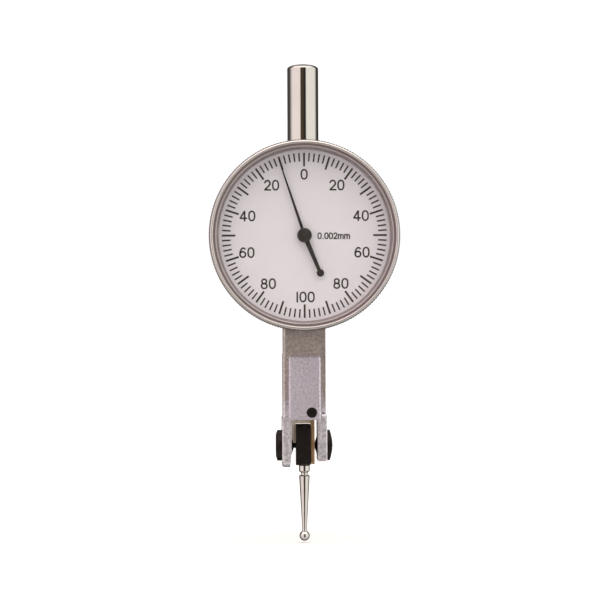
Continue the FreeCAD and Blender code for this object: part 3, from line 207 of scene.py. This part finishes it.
def turned_metal(name, colour, rough, pitch=0.00011, centre=(0, DIAL_Z), tone=0.05, relief=0.10,
                 rim=None):
    """Metal faced on a lathe about the dial's axis: fine rings plus a little grain.

    With rim = (radius in mm, colour, rough), the front outside that radius is brighter and glossier: partly
    a brighter turned finish, partly a painted highlight on the outer bead.
    """
    m = new_material(name)
    t = Tree(m.node_tree)
    s = t.add("ShaderNodeSeparateXYZ")
    t.join(t.coords(), s.inputs[0])
    dx = t.math("SUBTRACT", s.outputs[0], centre[0])
    dz = t.math("SUBTRACT", s.outputs[2], centre[1])
    rho = t.math("SQRT", t.math("ADD", t.math("MULTIPLY", dx, dx), t.math("MULTIPLY", dz, dz)))
    v = t.add("ShaderNodeCombineXYZ")
    t.join(rho, v.inputs[0])
    t.join(t.math("MULTIPLY", s.outputs[1], 1.0), v.inputs[1])
    rings = t.noise(v.outputs[0], 1 / pitch, 2.0, 0.6)
    fine = t.noise(t.coords(), 4200.0, 3.0, 0.6)
    wide = t.noise(t.coords(), 170.0, 3.0, 0.5, 0.3)
    both = t.math("ADD", t.math("MULTIPLY", rings, 0.6), t.math("MULTIPLY", fine, 0.4))
    level = t.ramp(both, 0.36, 0.64, smooth=False)
    base = t.mix(level, grey(colour, 1 - tone), grey(colour, 1 + tone))
    gloss = t.ramp(both, 0.3, 0.7, rough - 0.05, rough + 0.06, False)
    if rim is not None:
        radius, bright, smooth = rim
        # painted highlight: the front of the bead beyond the radius takes the brighter colour, partly a
        # brighter turned finish
        bead_highlight = t.math("MULTIPLY", t.ramp(rho, (radius - 0.05) * MM, (radius + 0.05) * MM),
                         t.ramp(s.outputs[1], -8.40 * MM, -8.60 * MM))
        base = t.mix(bead_highlight, base, t.mix(level, grey(bright, 1 - tone), grey(bright, 1 + tone)))
        gloss = t.math("ADD", gloss, t.math("MULTIPLY", bead_highlight, smooth - rough))
    base = t.mix(t.ramp(wide, 0.4, 0.8, 0.0, 0.12), base, grey(colour, 0.8))
    principled(t, **{"Base Color": base, "Metallic": 1.0, "Roughness": gloss,
                     "Normal": t.bump(both, relief, pitch * 0.4)})
    return m


def oxide(name, colour, rough):
    """Blackened steel: dark brown-black, half metal, with rubbed lighter patches."""
    m = new_material(name)
    t = Tree(m.node_tree)
    fine = t.noise(t.coords(), 5200.0, 3.0, 0.6)
    rub = t.noise(t.coords(), 900.0, 4.0, 0.6, 0.5)
    base = t.mix(t.ramp(fine, 0.35, 0.65, smooth=False), grey(colour, 0.82), grey(colour, 1.2))
    base = t.mix(t.ramp(rub, 0.58, 0.82, 0.0, 0.35), base, grey(colour, 2.4))
    principled(t, **{"Base Color": base, "Metallic": 0.55,
                     "Roughness": t.ramp(rub, 0.3, 0.75, rough + 0.08, rough - 0.08),
                     "Specular IOR Level": 0.4,
                     "Normal": t.bump(fine, 0.2, 0.00005)})
    return m


def enamel(name, colour, rough, tone=0.02, spots=3000.0, relief=0.05):
    """Printed lacquer: nearly even, with a faint mottle."""
    m = new_material(name)
    t = Tree(m.node_tree)
    fine = t.noise(t.coords(), spots, 3.0, 0.6)
    wide = t.noise(t.coords(), 190.0, 2.0, 0.5)
    base = t.mix(t.ramp(fine, 0.3, 0.7, smooth=False), grey(colour, 1 - tone), grey(colour, 1 + tone))
    base = t.mix(t.ramp(wide, 0.3, 0.7, 0.0, 0.25), base, grey(colour, 0.97))
    principled(t, **{"Base Color": base, "Metallic": 0.0,
                     "Roughness": t.ramp(fine, 0.3, 0.7, rough - 0.04, rough + 0.04, False),
                     "Normal": t.bump(fine, relief, 0.00003)})
    return m


def clear_crystal(name):
    """Clear crystal that lets lamps through, with the faintest surface ripple in its gloss."""
    m = new_material(name)
    t = Tree(m.node_tree)
    film = t.noise(t.coords(), 140.0, 3.0, 0.5, 0.4)
    p = t.add("ShaderNodeBsdfPrincipled")
    p.inputs["Base Color"].default_value = (1.0, 1.0, 1.0, 1.0)
    p.inputs["Metallic"].default_value = 0.0
    p.inputs["IOR"].default_value = 1.45
    p.inputs["Transmission Weight"].default_value = 1.0
    t.join(t.ramp(film, 0.4, 0.8, 0.0, 0.012), p.inputs["Roughness"])
    clear = t.add("ShaderNodeBsdfTransparent")
    path = t.add("ShaderNodeLightPath")
    mixed = t.add("ShaderNodeMixShader")
    o = t.add("ShaderNodeOutputMaterial")
    t.join(path.outputs["Is Shadow Ray"], mixed.inputs[0])
    t.join(p.outputs[0], mixed.inputs[1])
    t.join(clear.outputs[0], mixed.inputs[2])
    t.join(mixed.outputs[0], o.inputs["Surface"])
    return m


def ruby(name):
    m = new_material(name)
    t = Tree(m.node_tree)
    veil = t.noise(t.coords(), 2600.0, 3.0, 0.6)
    base = t.mix(t.ramp(veil, 0.35, 0.7), (0.62, 0.02, 0.05, 1), (0.40, 0.01, 0.03, 1))
    principled(t, **{"Base Color": base, "Roughness": t.ramp(veil, 0.3, 0.7, 0.05, 0.12),
                     "IOR": 1.76, "Coat Weight": 0.3})
    return m


# CHROME is a darker, browner copy of the chrome that paints the bezel's shade on the neck and upper body;
# LIGHT_CHROME is the unshaded chrome
CHROME = (0.660, 0.595, 0.575)
LIGHT_CHROME = (0.900, 0.870, 0.960)
materials = {
    # painted shade: the body casting and side cover are darker and browner above z = -46 mm, under the
    # bezel, and turn to the light chrome by z = -52 mm
    "satin_chrome": grained_metal("satin_chrome", CHROME, 0.50, grain=0.00046, tone=0.26, relief=0.22,
                                  other=LIGHT_CHROME, along="Z", places=(-46.0, -52.0)),
    "plate_chrome": grained_metal("plate_chrome", LIGHT_CHROME, 0.50, grain=0.00046, tone=0.26,
                                  relief=0.22),
    "dovetail_chrome": grained_metal("dovetail_chrome", (0.860, 0.810, 0.930), 0.50, grain=0.00040,
                                     tone=0.18, relief=0.16),
    # painted highlight and painted shade, partly real finish: the bright rim colour on the outer bead's
    # front and the darker base in the grooves act as lit and shaded copies of one chrome
    "bezel_chrome": turned_metal("bezel_chrome", (0.500, 0.440, 0.450), 0.42, tone=0.20,
                                 rim=(17.36, (0.800, 0.770, 0.760), 0.34)),
    "cover_chrome": turned_metal("cover_chrome", (0.640, 0.610, 0.605), 0.30, tone=0.08),
    "polished_chrome": polished_metal("polished_chrome", (0.640, 0.620, 0.600), 0.05),
    "polished_steel": polished_metal("polished_steel", (0.660, 0.640, 0.630), 0.07),
    "screw_steel": grained_metal("screw_steel", (0.500, 0.490, 0.480), 0.30, tone=0.06, relief=0.08),
    "spring_steel": grained_metal("spring_steel", (0.420, 0.430, 0.460), 0.26, tone=0.05, relief=0.05,
                                  stretch=(0.2, 1, 1)),
    "black_oxide": oxide("black_oxide", (0.018, 0.014, 0.013), 0.42),
    # painted reflection and painted shade: the pale cream on the left arm and bridge is partly the brass
    # colour, partly painted reflection; the dark brown past x = 1.3 mm is painted shade on the right plate
    "lever_brass": grained_metal("lever_brass", (0.970, 0.870, 0.720), 0.50, tone=0.12, relief=0.12,
                                 other=(0.640, 0.440, 0.240), along="X", places=(0.9, 1.3),
                                 stretch=(1, 1, 0.12)),
    "movement_brass": grained_metal("movement_brass", (0.720, 0.540, 0.260), 0.28, tone=0.05,
                                    relief=0.06),
    "ruby": ruby("ruby"),
    "crystal": clear_crystal("crystal"),
    "gasket": enamel("gasket", (0.380, 0.340, 0.350), 0.60, tone=0.12),
    "dial_enamel": enamel("dial_enamel", (0.800, 0.775, 0.835), 0.48),
    "pointer_black": enamel("pointer_black", (0.020, 0.017, 0.016), 0.42, tone=0.15),
    "dial_ink": enamel("dial_ink", (0.030, 0.027, 0.018), 0.55, tone=0.12),
}

BY_NODE = {
    "stem": "polished_chrome",
    "body_casting": "satin_chrome", "pivot_side_plate": "plate_chrome", "side_cover": "satin_chrome",
    "dovetail_plate": "dovetail_chrome", "rear_cover": "cover_chrome", "bezel": "bezel_chrome",
    "dovetail_screw": "black_oxide", "pivot_screw_left": "black_oxide",
    "pivot_screw_right": "black_oxide", "pivot_locknut_left": "black_oxide",
    "pivot_locknut_right": "black_oxide", "stylus_block": "black_oxide",
    "side_plate_screws": "screw_steel", "side_cover_screws": "screw_steel",
    "rear_cover_screws": "screw_steel", "movement_plate_screws": "screw_steel",
    "cock_screw": "screw_steel", "return_spring_screw": "screw_steel",
    "movement_plate": "movement_brass", "rear_cock": "movement_brass",
    "crown_bearing_posts": "movement_brass", "crown_wheel": "movement_brass",
    "transfer_wheel": "movement_brass", "hairspring_collet": "movement_brass",
    "hairspring_stud": "movement_brass", "jewel_bearings": "ruby",
    "lever_stop_pins": "screw_steel", "return_spring": "spring_steel",
    "bezel_spring_ring": "spring_steel", "hairspring": "spring_steel",
    "crystal": "crystal", "crystal_gasket": "gasket", "dial_plate": "dial_enamel",
    "measuring_lever": "lever_brass", "sector_gear": "movement_brass",
    "sector_rivets": "screw_steel", "swivel_washer": "lever_brass",
    "contact_stylus": "polished_steel", "contact_ball": "polished_steel",
    "crown_arbor": "screw_steel", "transfer_arbor": "screw_steel", "centre_arbor": "screw_steel",
    "pointer": "pointer_black", "pointer_hub": "pointer_black",
}
for name, obj in nodes.items():
    use = materials[BY_NODE[name]]
    for s in obj.material_slots:
        s.material = use
    if not obj.material_slots:
        obj.data.materials.append(use)

# ---- the printed dial ------------------------------------------------------------------

INK_BACK = DIAL_Y
INK_FRONT = DIAL_Y - 0.012 * MM


def prism(bm, outline):
    """A thin closed plate over an outline given in millimetres about the dial's centre."""
    front = [bm.verts.new((x * MM, INK_FRONT, DIAL_Z + z * MM)) for x, z in outline]
    rear = [bm.verts.new((x * MM, INK_BACK, DIAL_Z + z * MM)) for x, z in outline]
    bm.faces.new(front)
    bm.faces.new(rear[::-1])
    n = len(outline)
    for i in range(n):
        j = (i + 1) % n
        bm.faces.new((front[j], front[i], rear[i], rear[j]))


def ribbon(bm, path, wide, closed=False):
    """A stroke of the given width along a path, with round ends, as one thin closed strip."""
    pts = [Vector(p) for p in path]
    n = len(pts)
    left, right = [], []
    for i, p in enumerate(pts):
        a = pts[i - 1] if (i > 0 or closed) else p
        b = pts[(i + 1) % n] if (i < n - 1 or closed) else p
        d = b - a
        if i > 0 and i < n - 1 or closed:
            d1, d2 = (p - a).normalized(), (b - p).normalized()
            d = d1 + d2
            k = 1 / max(0.45, math.sqrt(max(0.0, (1 + d1.dot(d2)) / 2)))
        else:
            k = 1.0
        d.normalize()
        side = Vector((-d.y, d.x)) * (wide / 2 * k)
        left.append(p + side)
        right.append(p - side)
    if closed:
        rings = []
        for y in (INK_FRONT, INK_BACK):
            rings.append([[bm.verts.new((v.x * MM, y, DIAL_Z + v.y * MM)) for v in row]
                          for row in (left, right)])
        (fl, fr), (bl, br) = rings
        for i in range(n):
            j = (i + 1) % n
            bm.faces.new((fl[i], fl[j], fr[j], fr[i]))
            bm.faces.new((bl[i], br[i], br[j], bl[j]))
            bm.faces.new((fl[j], fl[i], bl[i], bl[j]))
            bm.faces.new((fr[i], fr[j], br[j], br[i]))
        return
    caps = []
    for end, inner in ((pts[-1], pts[-2]), (pts[0], pts[1])):
        d = (end - inner).normalized()
        caps.append([end + Vector((d.x * math.sin(a) - d.y * math.cos(a),
                                   d.y * math.sin(a) + d.x * math.cos(a))) * (wide / 2)
                     for a in (math.pi * k / 6 for k in range(1, 6))])
    outline = left + caps[0] + right[::-1] + caps[1]
    # the strip is built as quads along the stroke and a fan at each end
    front = {}
    rear = {}
    for i, v in enumerate(outline):
        front[i] = bm.verts.new((v.x * MM, INK_FRONT, DIAL_Z + v.y * MM))
        rear[i] = bm.verts.new((v.x * MM, INK_BACK, DIAL_Z + v.y * MM))
    m = len(outline)
    nl, nc = len(left), len(caps[0])

    def right_of(i):
        return nl + nc + (nl - 1 - i)

    for i in range(nl - 1):
        quad = (i, i + 1, right_of(i + 1), right_of(i))
        bm.faces.new([front[k] for k in quad])
        bm.faces.new([rear[k] for k in quad[::-1]])
    for fan in (list(range(nl - 1, nl + nc + 1)), list(range(m - nc - 1, m)) + [0]):
        bm.faces.new([front[k] for k in fan])
        bm.faces.new([rear[k] for k in fan[::-1]])
    for i in range(m):
        j = (i + 1) % m
        bm.faces.new((front[j], front[i], rear[i], rear[j]))


def finish_mesh(name, bm, material, smooth=False):
    bmesh.ops.recalc_face_normals(bm, faces=bm.faces)
    me = bpy.data.meshes.new(name)
    bm.to_mesh(me)
    bm.free()
    me.materials.append(material)
    for p in me.polygons:
        p.use_smooth = smooth
    o = bpy.data.objects.new(name, me)
    bpy.context.scene.collection.objects.link(o)
    return o


def arc(cx, cy, rx, ry, a0, a1, n=22, power=2.0):
    """Points of a rounded oval from one angle to another, in degrees counter-clockwise."""
    out = []
    for k in range(n + 1):
        a = math.radians(a0 + (a1 - a0) * k / n)
        c, s = math.cos(a), math.sin(a)
        out.append((cx + rx * math.copysign(abs(c) ** (2 / power), c),
                    cy + ry * math.copysign(abs(s) ** (2 / power), s)))
    return out


# strokes of each figure, drawn on a cell one unit high: (path, closed)
GLYPHS = {
    "0": (0.66, [(arc(0.33, 0.5, 0.27, 0.44, 0, 360 - 360 / 40, 39, 2.35), True)]),
    "1": (0.30, [([(0.20, 0.04), (0.20, 0.94)], False)]),
    "2": (0.66, [(arc(0.33, 0.68, 0.25, 0.26, 165, -28, 20)
                  + [(0.42, 0.40), (0.20, 0.19), (0.085, 0.065)], False),
                 ([(0.085, 0.06), (0.61, 0.06)], False)]),
    "4": (0.70, [([(0.47, 0.04), (0.47, 0.93)], False),
                 ([(0.45, 0.93), (0.06, 0.30)], False),
                 ([(0.06, 0.28), (0.65, 0.28)], False)]),
    "6": (0.66, [(arc(0.33, 0.32, 0.26, 0.26, 0, 360 - 360 / 36, 35, 2.1), True),
                 ([(0.07, 0.34), (0.075, 0.44), (0.10, 0.58), (0.155, 0.74), (0.24, 0.87),
                   (0.34, 0.935), (0.44, 0.925), (0.54, 0.84)], False)]),
    "8": (0.66, [(arc(0.33, 0.715, 0.215, 0.215, 0, 360 - 360 / 32, 31, 2.1), True),
                 (arc(0.33, 0.28, 0.26, 0.235, 0, 360 - 360 / 34, 33, 2.1), True)]),
    ".": (0.30, [([(0.12, 0.055), (0.16, 0.055)], False)]),
    "m": (0.98, [([(0.08, 0.04), (0.08, 0.70)], False),
                 (arc(0.28, 0.50, 0.20, 0.19, 170, 0, 12) + [(0.48, 0.04)], False),
                 (arc(0.68, 0.50, 0.20, 0.19, 170, 0, 12) + [(0.88, 0.04)], False)]),
}


def write(bm, text, at, high, wide, gap=0.12, squeeze=1.0):
    """Writes figures of the given height centred on a point, in millimetres."""
    total = sum(GLYPHS[c][0] for c in text) + gap * (len(text) - 1)
    x = -total / 2
    for c in text:
        w, strokes = GLYPHS[c]
        for path, closed in strokes:
            ribbon(bm, [(at[0] + (x + px) * high * squeeze, at[1] + (pz - 0.5) * high)
                        for px, pz in path], wide, closed)
        x += w + gap


bm = bmesh.new()
for k in range(100):
    a = math.radians(3.6 * k)
    long = k % 5 == 0
    r0, r1, w = (13.05, 15.62, 0.37) if long else (14.00, 15.62, 0.29)
    along = Vector((math.sin(a), math.cos(a)))
    across = Vector((math.cos(a), -math.sin(a))) * (w / 2)
    prism(bm, [tuple(v) for v in (along * r0 - across, along * r1 - across,
                                  along * r1 + across, along * r0 + across)])
ticks = finish_mesh("dial_graduation", bm, materials["dial_ink"])

bm = bmesh.new()
HIGH, LINE = 1.98, 0.31
for text, x, z in (("0", 0, 11.55), ("20", 6.18, 9.50), ("20", -6.18, 9.50), ("40", 10.75, 3.70),
                   ("40", -10.75, 3.70), ("60", 10.90, -3.22), ("60", -10.90, -3.22),
                   ("80", 6.87, -9.12), ("80", -6.87, -9.12), ("100", 0.05, -11.66)):
    write(bm, text, (x, z), HIGH, LINE)
numbers = finish_mesh("dial_numbers", bm, materials["dial_ink"])

bm = bmesh.new()
write(bm, "0.002mm", (5.58, -0.10), 1.20, 0.23, gap=0.10, squeeze=0.93)
unit = finish_mesh("dial_unit", bm, materials["dial_ink"])

for piece in (ticks, numbers, unit):
    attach(piece, "bezel_body")

# ---- the crystal, lathed finely, with eased edges and a hair's clearance in its seat --------

glass_low, glass_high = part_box("crystal")
g_front, g_back = glass_low.y + 0.010 * MM, glass_high.y - 0.030 * MM
g_rad = (glass_high.x - glass_low.x) / 2 - 0.020 * MM
ease = 0.05 * MM
outline = [(g_rad - ease, g_front), (g_rad - ease * 0.3, g_front + ease * 0.3), (g_rad, g_front + ease),
           (g_rad, g_back - ease), (g_rad - ease * 0.3, g_back - ease * 0.3), (g_rad - ease, g_back)]
bm = bmesh.new()
TURNS = 144
rows = []
for r, y in outline:
    rows.append([bm.verts.new((r * math.sin(2 * math.pi * k / TURNS), y,
                               DIAL_Z + r * math.cos(2 * math.pi * k / TURNS))) for k in range(TURNS)])
for a, b in zip(rows, rows[1:]):
    for k in range(TURNS):
        j = (k + 1) % TURNS
        bm.faces.new((a[k], a[j], b[j], b[k]))
bm.faces.new(rows[0][::-1])
bm.faces.new(rows[-1])
glass = finish_mesh("crystal_lens", bm, materials["crystal"])
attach(glass, "bezel_body")
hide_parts("crystal")

# ---- floor -----------------------------------------------------------------------------

floor_mat = new_material("floor_pale")
t = Tree(floor_mat.node_tree)
speck = t.noise(t.coords(), 90.0, 3.0, 0.5)
principled(t, **{"Base Color": t.mix(speck, (0.90, 0.90, 0.90, 1), (0.93, 0.93, 0.93, 1)),
                 "Roughness": 0.9, "Specular IOR Level": 0.0,
                 "Emission Color": (1.0, 1.0, 1.0, 1.0), "Emission Strength": 0.20})
bm = bmesh.new()
bmesh.ops.create_grid(bm, x_segments=8, y_segments=8, size=1.0)
bmesh.ops.scale(bm, verts=bm.verts, vec=(0.60, 0.60, 1.0))
bmesh.ops.translate(bm, verts=bm.verts, vec=(0, 0.10, FLOOR_Z))
floor = finish_mesh("floor", bm, floor_mat)
floor.visible_glossy = False

# ---- light -----------------------------------------------------------------------------

world = bpy.data.worlds.new("studio")
world.use_nodes = True
bpy.context.scene.world = world
wt = world.node_tree
wt.nodes.clear()
t = Tree(wt)
geo = t.add("ShaderNodeTexCoord")
sep = t.add("ShaderNodeSeparateXYZ")
t.join(geo.outputs["Generated"], sep.inputs[0])
dx, dy, dz = sep.outputs
to_front = t.math("MULTIPLY", dy, -1.0)
# angle from the front axis, and height above the horizon, both in degrees
off = t.math("MULTIPLY", t.math("ARCCOSINE", to_front), 180 / math.pi)
rise = t.math("MULTIPLY", t.math("ARCSINE", dz), 180 / math.pi)
level = t.math("ABSOLUTE", rise)
turn = t.math("MULTIPLY", t.math("ARCTAN2", dx, to_front), 180 / math.pi)
around = t.math("ABSOLUTE", turn)
# a dark place in front, narrow across and taller up and down, and dark flags behind both sides
across = t.math("ABSOLUTE", t.math("SUBTRACT", turn, 1.5))
tall = t.math("DIVIDE", level, 2.1)
front = t.math("SQRT", t.math("ADD", t.math("MULTIPLY", across, across), t.math("MULTIPLY", tall, tall)))
front_open = t.ramp(front, 16.5, 25.0, 0.0, 1.0)
flag = t.math("MULTIPLY", t.math("MAXIMUM", t.ramp(turn, -78.0, -118.0), t.ramp(turn, 90.0, 124.0)),
              t.ramp(rise, 58.0, 42.0))
open_sky = t.math("MULTIPLY", front_open, t.math("SUBTRACT", 1.0, flag))
upper = t.math("MULTIPLY", t.ramp(rise, 30.0, 66.0, 0.0, 1.1), t.ramp(dy, 0.25, -0.05))
height = t.math("ADD", t.ramp(rise, -50.0, 10.0, 0.76, 1.12), upper)
dark = t.ramp(turn, 3.0, 10.0, 0.085, 0.030)
# a soft box straight behind lights the rear
rear = t.math("MULTIPLY", t.math("MULTIPLY", t.ramp(around, 152.0, 166.0), t.ramp(level, 26.0, 12.0)), 0.55)
strength = t.math("ADD", t.math("ADD", t.math("MULTIPLY", open_sky, height), dark), rear)
tint = t.mix(t.ramp(dx, -0.5, 0.5), (1.0, 0.90, 0.86, 1), (1.0, 0.97, 0.90, 1))
tint = t.mix(t.math("MULTIPLY", t.math("SUBTRACT", 1.0, front_open), t.ramp(turn, 10.0, 3.0)), tint, (1.0, 0.72, 0.48, 1))
studio = t.add("ShaderNodeBackground")
t.join(tint, studio.inputs["Color"])
t.join(strength, studio.inputs["Strength"])
plain = t.add("ShaderNodeBackground")
plain.inputs["Color"].default_value = (1.0, 1.0, 1.0, 1.0)
plain.inputs["Strength"].default_value = 1.05
rays = t.add("ShaderNodeLightPath")
blend = t.add("ShaderNodeMixShader")
t.join(rays.outputs["Is Camera Ray"], blend.inputs[0])
t.join(studio.outputs[0], blend.inputs[1])
t.join(plain.outputs[0], blend.inputs[2])
out = t.add("ShaderNodeOutputWorld")
t.join(blend.outputs[0], out.inputs["Surface"])


# ---- camera ----------------------------------------------------------------------------

cam_data = bpy.data.cameras.new("camera")
cam_data.sensor_width = 36.0
cam_data.lens = 124.8
cam_data.dof.use_dof = False
cam_data.clip_start, cam_data.clip_end = 0.01, 10.0
cam = bpy.data.objects.new("camera", cam_data)
bpy.context.scene.collection.objects.link(cam)
aim = Vector((-0.69, 0.0, -29.23)) * MM
away = math.radians(1.7)
cam.location = aim + Vector((-math.sin(away), -math.cos(away), 0.0)) * 0.400
look = (aim - cam.location).to_track_quat("-Z", "Y")
cam.rotation_mode = "QUATERNION"
cam.rotation_quaternion = look @ Matrix.Rotation(math.radians(-0.25), 4, "Z").to_quaternion()
bpy.context.scene.camera = cam

bpy.context.scene.view_settings.view_transform = "Standard"
bpy.context.scene.view_settings.look = "None"
